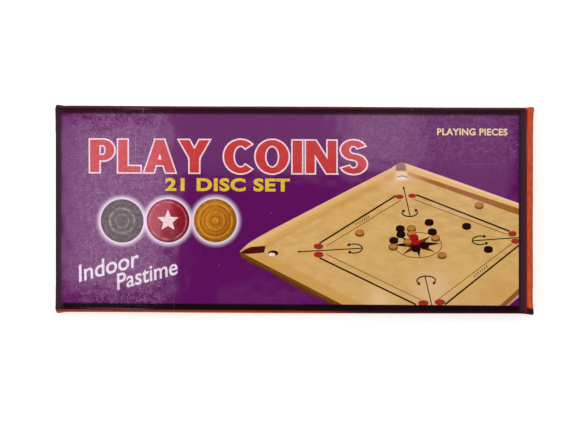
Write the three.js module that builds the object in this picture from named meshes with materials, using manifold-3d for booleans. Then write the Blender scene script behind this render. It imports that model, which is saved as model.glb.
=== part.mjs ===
// A boxed set of carrom men: a telescoping greyboard carton with a printed paper wrap,
// holding one layer of turned wooden playing discs.
//
// Frame: millimetres, +Z up. The carton lies on its back with the printed face up. +X runs along
// its length and +Y towards the top of the printed face. The origin is the centre of the
// footprint, on the surface that the carton lies on.

import * as THREE from "three";
import { mergeVertices } from "three/addons/utils/BufferGeometryUtils.js";
import Module from "manifold-3d";

const wasm = await Module();
wasm.setup();

// ---------------------------------------------------------------- driving dimensions

// Carrom men
const COIN_DIAMETER = 31;
const COIN_THICKNESS = 8.5;
const COIN_EDGE = 0.9; // rounding of the rim, as one chamfer
const COIN_RING_RADIUS = 8.6; // turned groove on each face
const COIN_RING_WIDTH = 1.6;
const COIN_RING_DEPTH = 0.45;
const COIN_SEGMENTS = 20;

// How they are packed
const COLUMNS = 7;
const ROWS = 3;
const GAP_X = 1.8; // between discs along the length
const GAP_Y = 0.3; // between discs across the width
const HEADROOM = 0.9; // above the discs, under the tray's rim

// Sheet materials
const TRAY_BOARD = 1.2;
const LID_BOARD = 1.2;
const PAPER = 0.2; // wrap and liner
const STAY = 0.15; // gummed tape at each folded corner
const GLUE = 0.05; // glue line between any two glued sheets

// Carton
const LID_CLEARANCE = 0.4; // lid's turned-in paper to the tray's paper, at the ceiling
const FLARE_X = 1.2; // how far each end wall of the lid leans out at its rim
const FLARE_Y = 0.5; // the same for the long walls
const SKIRT_LIFT = 0.6; // lid's rim above the supporting surface
const TURN_IN = 6; // paper folded over each rim to the inside
const BAND_LIFT = 0.4; // lower edge of the tray's paper band above its floor face
const STAY_WIDTH = 12; // tape on each side of a corner
const FOLD = 0.7; // softened edge where a wall folds out of a panel
const OUTER_CORNER = 1.2; // radius of a board corner, seen from above
const INNER_CORNER = 0.4;
const CORNER_SEGMENTS = 3;
const LINER_MARGIN = 1.5; // liner sheet to the tray's walls

// ---------------------------------------------------------------- derived places

const SKIN = GLUE + PAPER; // what a glued sheet of paper adds to a board face

const TRAY_INNER_X = COLUMNS * COIN_DIAMETER + (COLUMNS + 1) * GAP_X + 2 * SKIN;
const TRAY_INNER_Y = ROWS * COIN_DIAMETER + (ROWS + 1) * GAP_Y + 2 * SKIN;
const COIN_SEAT = TRAY_BOARD + SKIN + GLUE;
const TRAY_WALL_TOP = COIN_SEAT + COIN_THICKNESS + HEADROOM;
const TRAY_RIM = TRAY_WALL_TOP + SKIN;

const LID_INNER_X = TRAY_INNER_X + 2 * (TRAY_BOARD + SKIN + LID_CLEARANCE + SKIN);
const LID_INNER_Y = TRAY_INNER_Y + 2 * (TRAY_BOARD + SKIN + LID_CLEARANCE + SKIN);
const CEILING = TRAY_RIM + GLUE;
const LID_TOP = CEILING + LID_BOARD;
const LID_WALL_FOOT = SKIRT_LIFT + SKIN;

const BEYOND = 5; // how far a cutting solid runs past what it cuts

// ---------------------------------------------------------------- solids

function roundedRectangle(x, y, radius) {
  const [cx, cy] = [x / 2 - radius, y / 2 - radius];
  const outline = new THREE.Shape();
  outline.absarc(cx, cy, radius, 0, Math.PI / 2);
  outline.absarc(-cx, cy, radius, Math.PI / 2, Math.PI);
  outline.absarc(-cx, -cy, radius, Math.PI, 1.5 * Math.PI);
  outline.absarc(cx, -cy, radius, 1.5 * Math.PI, 2 * Math.PI);
  return outline;
}

// A closed body through rounded rectangles {z, x, y}, lowest first, with one corner radius.
function loft(sections, radius) {
  const first = sections[0];
  const steps = sections.length - 1;
  const geometry = new THREE.ExtrudeGeometry(roundedRectangle(first.x, first.y, radius), {
    depth: steps,
    steps,
    bevelEnabled: false,
    curveSegments: CORNER_SEGMENTS,
  });
  const position = geometry.getAttribute("position");
  for (let i = 0; i < position.count; i++) {
    const [x, y] = [position.getX(i), position.getY(i)];
    const section = sections[Math.round(position.getZ(i))];
    const growX = (Math.sign(x) * (section.x - first.x)) / 2;
    const growY = (Math.sign(y) * (section.y - first.y)) / 2;
    position.setXYZ(i, x + growX, y + growY, section.z);
  }
  return toSolid(geometry);
}

function block(low, high) {
  const size = high.map((value, axis) => value - low[axis]);
  const geometry = new THREE.BoxGeometry(...size);
  geometry.translate(...low.map((value, axis) => value + size[axis] / 2));
  return toSolid(geometry);
}

function toSolid(geometry) {
  const bare = geometry.clone();
  bare.deleteAttribute("normal");
  bare.deleteAttribute("uv");
  const merged = mergeVertices(bare, 1e-4);
  return new wasm.Manifold(
    new wasm.Mesh({
      numProp: 3,
      vertProperties: merged.getAttribute("position").array,
      triVerts: new Uint32Array(merged.index.array),
    }),
  );
}

function toGeometry(solid) {
  const mesh = solid.getMesh();
  const geometry = new THREE.BufferGeometry();
  geometry.setAttribute("position", new THREE.BufferAttribute(mesh.vertProperties, 3));
  geometry.setIndex(new THREE.BufferAttribute(mesh.triVerts, 1));
  const flat = geometry.toNonIndexed();
  flat.computeVertexNormals();
  return flat;
}

// ---------------------------------------------------------------- tray surfaces

// Body inside the tray board's outer surface, grown by offset, from low to high.
function trayOuter(offset, low, high) {
  const x = TRAY_INNER_X + 2 * (TRAY_BOARD + offset);
  const y = TRAY_INNER_Y + 2 * (TRAY_BOARD + offset);
  const shrink = 2 * Math.max(0, FOLD - low);
  const foot = { z: low, x: x - shrink, y: y - shrink };
  const foldEnd = { z: Math.max(FOLD, low), x, y };
  const sections = [foldEnd, { z: high, x, y }];
  return loft(shrink > 0 ? [foot, ...sections] : sections, OUTER_CORNER + offset);
}

// Body inside the tray board's inner surface, shrunk by inset, from low to high.
function trayInner(inset, low, high) {
  const size = { x: TRAY_INNER_X - 2 * inset, y: TRAY_INNER_Y - 2 * inset };
  return loft(
    [
      { z: low, ...size },
      { z: high, ...size },
    ],
    INNER_CORNER,
  );
}

// ---------------------------------------------------------------- lid surfaces

// Rectangle at height z, offset outwards from the lid board's inner surface.
function lidSection(z, offset) {
  const lean = Math.max(0, (CEILING - z) / (CEILING - SKIRT_LIFT));
  return {
    z,
    x: LID_INNER_X + 2 * (FLARE_X * lean + offset),
    y: LID_INNER_Y + 2 * (FLARE_Y * lean + offset),
  };
}

// Body inside the lid board's outer surface, grown by offset, from low to the top.
function lidOuter(offset, low) {
  const top = lidSection(LID_TOP + offset, LID_BOARD + offset - FOLD);
  return loft(
    [
      lidSection(low, LID_BOARD + offset),
      lidSection(CEILING, LID_BOARD + offset),
      lidSection(LID_TOP - FOLD + offset, LID_BOARD + offset),
      top,
    ],
    OUTER_CORNER + offset,
  );
}

// Body inside the lid board's inner surface, shrunk by inset, from low to high.
function lidInner(inset, low, high) {
  return loft([lidSection(low, -inset), lidSection(high, -inset)], INNER_CORNER);
}

// ---------------------------------------------------------------- board shells and stays

const CORNERS = [
  { name: "front_left", x: -1, y: -1 },
  { name: "front_right", x: 1, y: -1 },
  { name: "rear_left", x: -1, y: 1 },
  { name: "rear_right", x: 1, y: 1 },
];

// The block of space within reach of one vertical corner of a shell x by y.
function cornerBlock(corner, x, y, reach, low, high) {
  const xs = [x / 2 - reach, x / 2 + BEYOND].map((value) => corner.x * value);
  const ys = [y / 2 - reach, y / 2 + BEYOND].map((value) => corner.y * value);
  const sorted = (pair) => pair.toSorted((a, b) => a - b);
  const [[x0, x1], [y0, y1]] = [sorted(xs), sorted(ys)];
  return block([x0, y0, low], [x1, y1, high]);
}

// A gummed tape bedded into the outside of a board corner, and the recess that takes it.
function stay(corner, skinOf, x, y, low, high) {
  const tape = skinOf(0).subtract(skinOf(-STAY));
  const recess = skinOf(BEYOND).subtract(skinOf(-STAY - GLUE));
  return {
    tape: tape.intersect(cornerBlock(corner, x, y, STAY_WIDTH, low, high)),
    recess: recess.intersect(
      cornerBlock(corner, x, y, STAY_WIDTH + GLUE, low - GLUE, high + GLUE),
    ),
  };
}

function withStays(board, makeStay) {
  const tapes = [];
  let shell = board;
  for (const corner of CORNERS) {
    const made = makeStay(corner);
    shell = shell.subtract(made.recess);
    tapes.push({ name: corner.name, solid: made.tape });
  }
  return { shell, tapes };
}

function trayShell() {
  const board = trayOuter(0, 0, TRAY_WALL_TOP).subtract(
    trayInner(0, TRAY_BOARD, TRAY_WALL_TOP + BEYOND),
  );
  const [x, y] = [TRAY_INNER_X + 2 * TRAY_BOARD, TRAY_INNER_Y + 2 * TRAY_BOARD];
  const skin = (offset) => trayOuter(offset, FOLD, TRAY_WALL_TOP);
  return withStays(board, (corner) =>
    stay(corner, skin, x, y, TRAY_BOARD, TRAY_WALL_TOP - FOLD),
  );
}

function lidShell() {
  const board = lidOuter(0, LID_WALL_FOOT).subtract(
    lidInner(0, LID_WALL_FOOT - BEYOND, CEILING),
  );
  const [x, y] = [LID_INNER_X + 2 * LID_BOARD, LID_INNER_Y + 2 * LID_BOARD];
  const skin = (offset) => lidOuter(offset, SKIRT_LIFT);
  return withStays(board, (corner) =>
    stay(corner, skin, x, y, LID_WALL_FOOT + FOLD, CEILING - GLUE),
  );
}

// ---------------------------------------------------------------- paper

// A band round the tray's walls, folded over the rim and turned in.
function trayWrap() {
  const hollow = (inset) => trayInner(inset, -BEYOND, TRAY_RIM + BEYOND);
  const wall = trayOuter(GLUE, FOLD, TRAY_RIM - PAPER).subtract(hollow(GLUE));
  const bareWall = trayOuter(GLUE, FOLD, TRAY_RIM - TURN_IN).subtract(hollow(SKIN + GLUE));
  return trayOuter(SKIN, FOLD + BAND_LIFT, TRAY_RIM)
    .subtract(hollow(SKIN))
    .subtract(wall)
    .subtract(bareWall);
}

// The printed sheet over the lid's panel and walls, folded under the rim and turned in.
function lidWrap() {
  const board = lidOuter(GLUE, LID_WALL_FOOT - GLUE).subtract(
    lidInner(GLUE, SKIRT_LIFT - BEYOND, CEILING - GLUE),
  );
  return lidOuter(SKIN, SKIRT_LIFT)
    .subtract(board)
    .subtract(lidInner(SKIN, SKIRT_LIFT - BEYOND, CEILING))
    .subtract(lidInner(-GLUE, SKIRT_LIFT + TURN_IN, CEILING + GLUE));
}

// A loose sheet over the tray's floor, under the discs.
function linerSheet() {
  const size = { x: TRAY_INNER_X - 2 * LINER_MARGIN, y: TRAY_INNER_Y - 2 * LINER_MARGIN };
  return loft(
    [
      { z: TRAY_BOARD + GLUE, ...size },
      { z: TRAY_BOARD + SKIN, ...size },
    ],
    INNER_CORNER,
  );
}

// ---------------------------------------------------------------- discs

// One turned disc, standing on z = 0, with a grooved ring on both faces.
function coinGeometry() {
  const radius = COIN_DIAMETER / 2;
  const half = COIN_RING_WIDTH / 2;
  const face = [
    [radius, COIN_EDGE],
    [radius - COIN_EDGE, 0],
    [COIN_RING_RADIUS + half, 0],
    [COIN_RING_RADIUS, COIN_RING_DEPTH],
    [COIN_RING_RADIUS - half, 0],
    [0, 0],
  ];
  const lower = face.toReversed().map(([r, z]) => new THREE.Vector2(r, z));
  const upper = face.map(([r, z]) => new THREE.Vector2(r, COIN_THICKNESS - z));
  const turned = new THREE.LatheGeometry([...lower, ...upper], COIN_SEGMENTS);
  turned.rotateX(Math.PI / 2); // the lathe turns about Y; the disc stands about Z
  return toGeometry(toSolid(turned));
}

// ---------------------------------------------------------------- materials

function finish(color, roughness) {
  return new THREE.MeshStandardMaterial({ color, roughness, metalness: 0 });
}

const materials = {
  greyboard: finish(0xb9b2a4, 0.9),
  tape: finish(0xc9a878, 0.85),
  orangePaper: finish(0xc8502a, 0.55),
  printedPaper: finish(0x6b2a74, 0.3),
  liner: finish(0xe6e0d2, 0.9),
  black: finish(0x2b2926, 0.45),
  natural: finish(0xd8a04a, 0.4),
  red: finish(0xb3202c, 0.35),
};

// ---------------------------------------------------------------- assembly

function meshOf(name, geometry, material) {
  const mesh = new THREE.Mesh(geometry, material);
  mesh.name = name;
  return mesh;
}

function addShell(group, prefix, { shell, tapes }) {
  group.add(meshOf(`${prefix}_board`, toGeometry(shell), materials.greyboard));
  for (const { name, solid } of tapes) {
    group.add(meshOf(`${prefix}_corner_stay_${name}`, toGeometry(solid), materials.tape));
  }
}

function trayGroup() {
  const group = new THREE.Group();
  addShell(group, "tray", trayShell());
  group.add(meshOf("tray_paper_band", toGeometry(trayWrap()), materials.orangePaper));
  group.add(meshOf("tray_liner_sheet", toGeometry(linerSheet()), materials.liner));
  return group;
}

function lidGroup() {
  const group = new THREE.Group();
  addShell(group, "lid", lidShell());
  group.add(meshOf("lid_printed_wrap", toGeometry(lidWrap()), materials.printedPaper));
  return group;
}

// The queen lies in the middle, and the two colours alternate round it.
function coinGroup() {
  const group = new THREE.Group();
  const geometry = coinGeometry();
  const count = { black: 0, natural: 0 };
  for (let row = 0; row < ROWS; row++) {
    for (let column = 0; column < COLUMNS; column++) {
      const fromMiddleX = column - (COLUMNS - 1) / 2;
      const fromMiddleY = row - (ROWS - 1) / 2;
      const isQueen = fromMiddleX === 0 && fromMiddleY === 0;
      const colour = (column + row) % 2 === 0 ? "black" : "natural";
      const number = isQueen ? 0 : ++count[colour];
      const name = isQueen ? "coin_red_queen" : `coin_${colour}_${number}`;
      const mesh = meshOf(name, geometry, isQueen ? materials.red : materials[colour]);
      mesh.position.set(
        fromMiddleX * (COIN_DIAMETER + GAP_X),
        fromMiddleY * (COIN_DIAMETER + GAP_Y),
        COIN_SEAT,
      );
      group.add(mesh);
    }
  }
  return group;
}

const carton = new THREE.Group();
carton.add(trayGroup(), coinGroup(), lidGroup());

export default carton;
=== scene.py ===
"""The looks of a boxed set of carrom men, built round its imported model.

The carton lies on its back with the printed face up: +X runs along it and +Y points to the top of
the print. Sizes and places are in millimetres here, and MM turns them into the frame's metres.
"""

import math
import random

import bmesh
import bpy
from mathutils import Matrix, Vector
from mathutils.geometry import delaunay_2d_cdt


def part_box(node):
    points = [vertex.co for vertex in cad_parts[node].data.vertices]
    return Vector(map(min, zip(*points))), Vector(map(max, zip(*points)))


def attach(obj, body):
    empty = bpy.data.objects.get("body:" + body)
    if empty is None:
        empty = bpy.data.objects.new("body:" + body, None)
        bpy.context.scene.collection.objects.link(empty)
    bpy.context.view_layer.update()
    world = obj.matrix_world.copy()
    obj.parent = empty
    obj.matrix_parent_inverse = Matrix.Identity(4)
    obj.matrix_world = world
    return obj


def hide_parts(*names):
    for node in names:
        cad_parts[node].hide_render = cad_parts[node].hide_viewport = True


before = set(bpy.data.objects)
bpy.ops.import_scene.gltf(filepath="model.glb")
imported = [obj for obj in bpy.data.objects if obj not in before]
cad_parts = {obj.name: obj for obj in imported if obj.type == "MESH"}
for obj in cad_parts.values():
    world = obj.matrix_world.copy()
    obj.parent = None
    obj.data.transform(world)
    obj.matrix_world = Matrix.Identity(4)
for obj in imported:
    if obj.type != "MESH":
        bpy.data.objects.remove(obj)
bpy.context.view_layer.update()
MM = 0.001

# ---------------------------------------------------------------- places taken from the frame

WRAP_LOW, WRAP_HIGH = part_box("lid_printed_wrap")
FACE_Z = WRAP_HIGH.z


def crown_half_size():
    """Half the length and width of the lid's flat top, inside its folded edges."""
    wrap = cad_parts["lid_printed_wrap"].data
    top = [v.co for v in wrap.vertices if v.co.z > FACE_Z - 0.01 * MM]
    return max(p.x for p in top), max(p.y for p in top)


FOLD = 0.7 * MM  # the CAD wrap's chamfer, which the rounded fold replaces
HALF_X, HALF_Y = (half + FOLD for half in crown_half_size())
LEAN_X = WRAP_HIGH.x - HALF_X  # how far the walls lean out at the rim
LEAN_Y = WRAP_HIGH.y - HALF_Y
RIM_Z = WRAP_LOW.z

# ---------------------------------------------------------------- carton and print, in mm

PAPER = 0.2
WALL_STACK = 1.7  # paper, board and paper together
FOLD_RADIUS = 1.1
TURN_IN = 6.0
FLAP_REACH = 12.0  # how far the long walls' flaps reach round under the end walls' paper

PANEL = (-116.45, -47.05, 115.25, 47.8)  # the purple field: left, bottom, right, top
INK = 0.015  # height of one layer of print

COIN_PICTURES = {"black": (-85.5, -5.9), "red": (-62.2, -5.7), "gold": (-38.2, -5.5)}
COIN_PICTURE_RADIUS = 10.9


def srgb(red, green, blue):
    """A display colour, each part from 0 to 255, as a linear colour with alpha."""

    def linear(value):
        value /= 255
        return value / 12.92 if value <= 0.04045 else ((value + 0.055) / 1.055) ** 2.4

    return (linear(red), linear(green), linear(blue), 1.0)


# ---------------------------------------------------------------- node building


class Shading:
    """One material's nodes, made by short calls that take and return sockets or plain values."""

    def __init__(self, name, roughness=0.5, **fixed):
        self.material = bpy.data.materials.new(name)
        self.material.use_nodes = True
        self.tree = self.material.node_tree
        self.shader = self.tree.nodes["Principled BSDF"]
        self.shader.inputs["Roughness"].default_value = roughness
        for socket, value in fixed.items():
            self.shader.inputs[socket.replace("_", " ")].default_value = value
        self.place = self.node("ShaderNodeTexCoord").outputs["Object"]
        parts = self.node("ShaderNodeSeparateXYZ")
        self.tree.links.new(self.place, parts.inputs[0])
        self.x, self.y, self.z = parts.outputs

    def node(self, kind, **settings):
        made = self.tree.nodes.new(kind)
        for key, value in settings.items():
            setattr(made, key, value)
        return made

    def put(self, value, socket):
        if isinstance(value, bpy.types.NodeSocket):
            self.tree.links.new(value, socket)
        else:
            socket.default_value = value

    def calc(self, operation, *values):
        made = self.node("ShaderNodeMath", operation=operation)
        for value, socket in zip(values, made.inputs):
            self.put(value, socket)
        return made.outputs[0]

    def smooth(self, value, low, high):
        """0 at low and 1 at high, eased between them."""
        made = self.node("ShaderNodeMapRange", interpolation_type="SMOOTHSTEP")
        self.put(value, made.inputs["Value"])
        made.inputs["From Min"].default_value = low
        made.inputs["From Max"].default_value = high
        return made.outputs["Result"]

    def between(self, value, low, high, soft):
        """1 where value lies from low to high, with soft edges."""
        rise = self.smooth(value, low - soft, low + soft)
        fall = self.smooth(value, high + soft, high - soft)
        return self.calc("MULTIPLY", rise, fall)

    def stretched(self, x, y, z):
        made = self.node("ShaderNodeMapping")
        self.put(self.place, made.inputs["Vector"])
        made.inputs["Scale"].default_value = (x, y, z)
        return made.outputs["Vector"]

    def noise(self, size, detail=3.0, vector=None, roughness=0.55):
        """Soft noise from about 0.3 to 0.7, with features of that size in mm."""
        made = self.node("ShaderNodeTexNoise")
        self.put(self.place if vector is None else vector, made.inputs["Vector"])
        made.inputs["Scale"].default_value = 1 / (size * MM)
        made.inputs["Detail"].default_value = detail
        made.inputs["Roughness"].default_value = roughness
        return made.outputs["Fac"]

    def specks(self, cell, radius, share, vector=None):
        """Round specks: cells of that size in mm, a share of which hold a speck."""
        made = self.node("ShaderNodeTexVoronoi")
        self.put(self.place if vector is None else vector, made.inputs["Vector"])
        made.inputs["Scale"].default_value = 1 / (cell * MM)
        near = self.smooth(made.outputs["Distance"], radius, 0.3 * radius)
        parts = self.node("ShaderNodeSeparateColor")
        self.tree.links.new(made.outputs["Color"], parts.inputs[0])
        chosen = self.calc("LESS_THAN", parts.outputs[0], share)
        return self.calc("MULTIPLY", near, self.calc("MULTIPLY", chosen, parts.outputs[1]))

    def mix(self, factor, first, second, blend="MIX"):
        made = self.node("ShaderNodeMix", data_type="RGBA", blend_type=blend)
        self.put(factor, made.inputs[0])
        self.put(first, made.inputs[6])
        self.put(second, made.inputs[7])
        return made.outputs[2]

    def from_point(self, x, y):
        """Distance in metres, seen from above, from a point given in mm."""
        dx = self.calc("SUBTRACT", self.x, x * MM)
        dy = self.calc("SUBTRACT", self.y, y * MM)
        squares = [self.calc("MULTIPLY", d, d) for d in (dx, dy)]
        return self.calc("SQRT", self.calc("ADD", *squares))

    def bump(self, height, depth, strength=1.0, normal=None, sockets=("Normal",)):
        """Relief of that depth in mm, on the named normals of the shader."""
        made = self.node("ShaderNodeBump")
        made.inputs["Strength"].default_value = strength
        made.inputs["Distance"].default_value = depth * MM
        self.put(height, made.inputs["Height"])
        if normal is not None:
            self.put(normal, made.inputs["Normal"])
        for socket in sockets:
            self.put(made.outputs[0], self.shader.inputs[socket])
        return made.outputs[0]

    def finish(self, colour):
        self.put(colour, self.shader.inputs["Base Color"])
        return self.material


# ---------------------------------------------------------------- mesh building


def new_piece(name, mesh_or_bmesh, body, material, smooth=False):
    mesh = mesh_or_bmesh
    if isinstance(mesh, bmesh.types.BMesh):
        mesh = bpy.data.meshes.new(name)
        mesh_or_bmesh.normal_update()
        mesh_or_bmesh.to_mesh(mesh)
        mesh_or_bmesh.free()
    piece = bpy.data.objects.new(name, mesh)
    bpy.context.scene.collection.objects.link(piece)
    for made in material if isinstance(material, (list, tuple)) else [material]:
        mesh.materials.append(made)
    for face in mesh.polygons:
        face.use_smooth = smooth
    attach(piece, body)
    return piece


def add_prism(bm, outline, low, high, index=0):
    """A closed prism over an outline in mm that runs anticlockwise."""
    rings = [[bm.verts.new((x * MM, y * MM, z)) for x, y in outline] for z in (low, high)]
    faces = [bm.faces.new(rings[0][::-1]), bm.faces.new(rings[1])]
    count = len(outline)
    for i in range(count):
        j = (i + 1) % count
        faces.append(bm.faces.new((rings[0][i], rings[0][j], rings[1][j], rings[1][i])))
    for face in faces:
        face.material_index = index


def add_union(bm, outlines, low, high):
    """One closed solid over everything that outlines in mm cover; they may overlap."""
    points, loops = [], []
    for outline in outlines:
        loops.append(list(range(len(points), len(points) + len(outline))))
        points += [Vector(point) for point in outline]
    inside_only = 1  # but this still fills holes, whose triangles belong to no outline
    flat, _, triangles, _, _, owners = delaunay_2d_cdt(points, [], loops, inside_only, 1e-4)
    triangles = [tri for tri, owner in zip(triangles, owners) if owner]
    used = {i for tri in triangles for i in tri}
    lower, upper = ({i: bm.verts.new((flat[i].x * MM, flat[i].y * MM, z)) for i in used} for z in (low, high))
    sides = {(tri[i - 1], tri[i]) for tri in triangles for i in range(3)}
    for tri in triangles:
        bm.faces.new([upper[i] for i in tri])
        bm.faces.new([lower[i] for i in reversed(tri)])
    for a, b in sides:
        if (b, a) not in sides:
            bm.faces.new((lower[a], lower[b], upper[b], upper[a]))


def clipped(outline, box=PANEL):
    """The part of an outline that lies inside a box: left, bottom, right, top."""
    limits = ((0, box[0], 1), (1, box[1], 1), (0, box[2], -1), (1, box[3], -1))
    for axis, limit, side in limits:
        kept = []
        for i, point in enumerate(outline):
            before = outline[i - 1]
            inside = side * (point[axis] - limit) >= 0
            was_inside = side * (before[axis] - limit) >= 0
            if inside != was_inside:
                t = (limit - before[axis]) / (point[axis] - before[axis])
                kept.append(tuple(b + t * (p - b) for b, p in zip(before, point)))
            if inside:
                kept.append(tuple(point))
        outline = kept
    return outline


def anticlockwise(outline):
    area = sum(a[0] * b[1] - b[0] * a[1] for a, b in zip(outline, outline[1:] + outline[:1]))
    return outline if area > 0 else outline[::-1]


def ellipse(x, y, across, up, count=40):
    turns = [2 * math.pi * i / count for i in range(count)]
    return [(x + across * math.cos(t), y + up * math.sin(t)) for t in turns]


# ---------------------------------------------------------------- ink and film


def panel_mask(s, soft=1.0):
    """1 on the purple panel and 0 on the border and the folds."""
    left, bottom, right, top = (side * MM for side in PANEL)
    return s.calc("MULTIPLY", s.between(s.x, left, right, soft * MM), s.between(s.y, bottom, top, soft * MM))


def film(s, colour, dust_and_sheen=1.0):
    """Covers a printed colour with the carton's glossy film: dusty specks, a pale haze that is partly rubbed film and
    partly painted reflection of soft light, and soft ripples.
    """
    # Where the film mirrors soft light, at the left and upper right. This mask carries a painted reflection as well as
    # the rubbing, specks and scratches.
    left = s.calc("MULTIPLY", s.smooth(s.x, -54 * MM, -72 * MM), s.smooth(s.x, -120 * MM, -98 * MM))
    right = s.calc("MULTIPLY", s.smooth(s.y, 14 * MM, 34 * MM), s.smooth(s.x, 20 * MM, 44 * MM))
    worn = s.calc("MAXIMUM", left, s.calc("MULTIPLY", right, 0.5))
    on_panel = s.calc("MAXIMUM", panel_mask(s), 0.1)
    rub = s.smooth(s.noise(2.2, detail=6, roughness=0.7), 0.38, 0.66)
    # The pale haze is partly rubbed film and partly a painted reflection of soft light.
    haze = s.calc("MULTIPLY", s.calc("MULTIPLY", worn, rub), 0.1 * dust_and_sheen)
    colour = s.mix(s.calc("MULTIPLY", haze, on_panel), colour, srgb(226, 186, 222))
    density = s.calc("MULTIPLY", s.calc("ADD", 0.025, s.calc("MULTIPLY", worn, 0.45)), on_panel)
    fine = s.calc("MULTIPLY", s.specks(0.62, 0.42, 0.6), s.calc("MULTIPLY", density, dust_and_sheen))
    coarse = s.calc("MULTIPLY", s.specks(5.2, 0.06, 0.2), s.calc("MULTIPLY", on_panel, 0.4 * dust_and_sheen))
    colour = s.mix(s.calc("MAXIMUM", fine, coarse), colour, srgb(236, 214, 230))
    for x, y in ((0.02, 1.0), (1.0, 0.03)):  # hairline scratches each way
        hairs = s.smooth(s.noise(1.3, detail=1, vector=s.stretched(x, y, 1.0)), 0.68, 0.76)
        amount = s.calc("MULTIPLY", s.calc("MULTIPLY", hairs, worn), 0.09 * dust_and_sheen)
        colour = s.mix(amount, colour, srgb(240, 215, 238))
    ripple = s.noise(11, detail=1)
    grain = s.noise(0.9, detail=2)
    height = s.calc("ADD", ripple, s.calc("MULTIPLY", grain, 0.02))
    s.bump(height, 0.3, 0.4, sockets=("Coat Normal",))
    s.bump(grain, 0.02, 0.4)
    return colour


def glossy(name, kind=None):
    """A printed surface whose shine comes only from the film over it."""
    s = (kind or Shading)(name, roughness=0.45, Coat_Weight=1.0, Coat_Roughness=0.085)
    s.shader.inputs["Specular IOR Level"].default_value = 0.0
    return s


def ink(name, colour, dust_and_sheen=1.0):
    """Print of one colour, slightly uneven, under the film."""
    s = glossy(name)
    uneven = s.smooth(s.noise(1.6, detail=4), 0.35, 0.7)
    darker = tuple(0.8 * part for part in colour[:3]) + (1.0,)
    return s.finish(film(s, s.mix(uneven, darker, colour), dust_and_sheen))


def lid_face_print():
    """The wrap over the panel and its folds: purple field, black border, glows round the discs."""
    s = glossy("printed_wrap_face")
    purple = s.mix(s.noise(30, detail=3), srgb(84, 8, 84), srgb(98, 16, 94))
    for centre in COIN_PICTURES.values():
        away = s.from_point(*centre)
        radius = COIN_PICTURE_RADIUS * MM
        glow = s.smooth(away, radius + 3.4 * MM, radius - 0.6 * MM)
        glow = s.calc("POWER", glow, 1.4)
        purple = s.mix(glow, purple, srgb(240, 225, 245))
    face = s.mix(panel_mask(s, 0.45), border_black(s), purple)
    # Black over red ink turns maroon towards the folds.
    out_y = s.calc("SUBTRACT", s.calc("ABSOLUTE", s.y), HALF_Y)
    out_x = s.calc("SUBTRACT", s.x, HALF_X)
    near_long = s.calc("MULTIPLY", s.smooth(out_y, -2.2 * MM, -0.2 * MM), 0.7)
    near_right = s.calc("MULTIPLY", s.smooth(out_x, -1.5 * MM, -0.6 * MM), 0.8)
    face = s.mix(near_long, face, srgb(48, 8, 12))
    face = s.mix(near_right, face, srgb(112, 24, 20))
    # At the front left the walls' orange starts a little before the fold.
    early = s.calc("MULTIPLY", s.smooth(out_y, -0.62 * MM, -0.38 * MM), s.smooth(s.y, 0, -MM))
    early = s.calc("MULTIPLY", early, s.smooth(s.x, 40 * MM, 5 * MM))
    face = s.mix(early, face, srgb(146, 66, 30))
    face = s.mix(s.smooth(s.z, FACE_Z - 0.45 * MM, FACE_Z - 0.75 * MM), face, wall_print(s))
    # The film's shine fades out where the border bends away over the folds.
    shine = s.calc("ADD", 0.05, s.calc("MULTIPLY", panel_mask(s), 0.95))
    s.put(shine, s.shader.inputs["Coat Weight"])
    return s.finish(film(s, face))


def border_black(s):
    black = s.mix(s.noise(14, detail=3), srgb(14, 6, 10), srgb(28, 14, 22))
    # Greyer towards the ends of the border: a painted sheen, standing in for light reflected off the black.
    ends = s.smooth(s.calc("ABSOLUTE", s.x), 114 * MM, 117.5 * MM)
    black = s.mix(s.calc("MULTIPLY", ends, 0.8), black, srgb(60, 42, 52))
    return s.mix(s.calc("MULTIPLY", s.smooth(s.y, 44 * MM, 48 * MM), 0.6), black, srgb(52, 22, 38))


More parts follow.
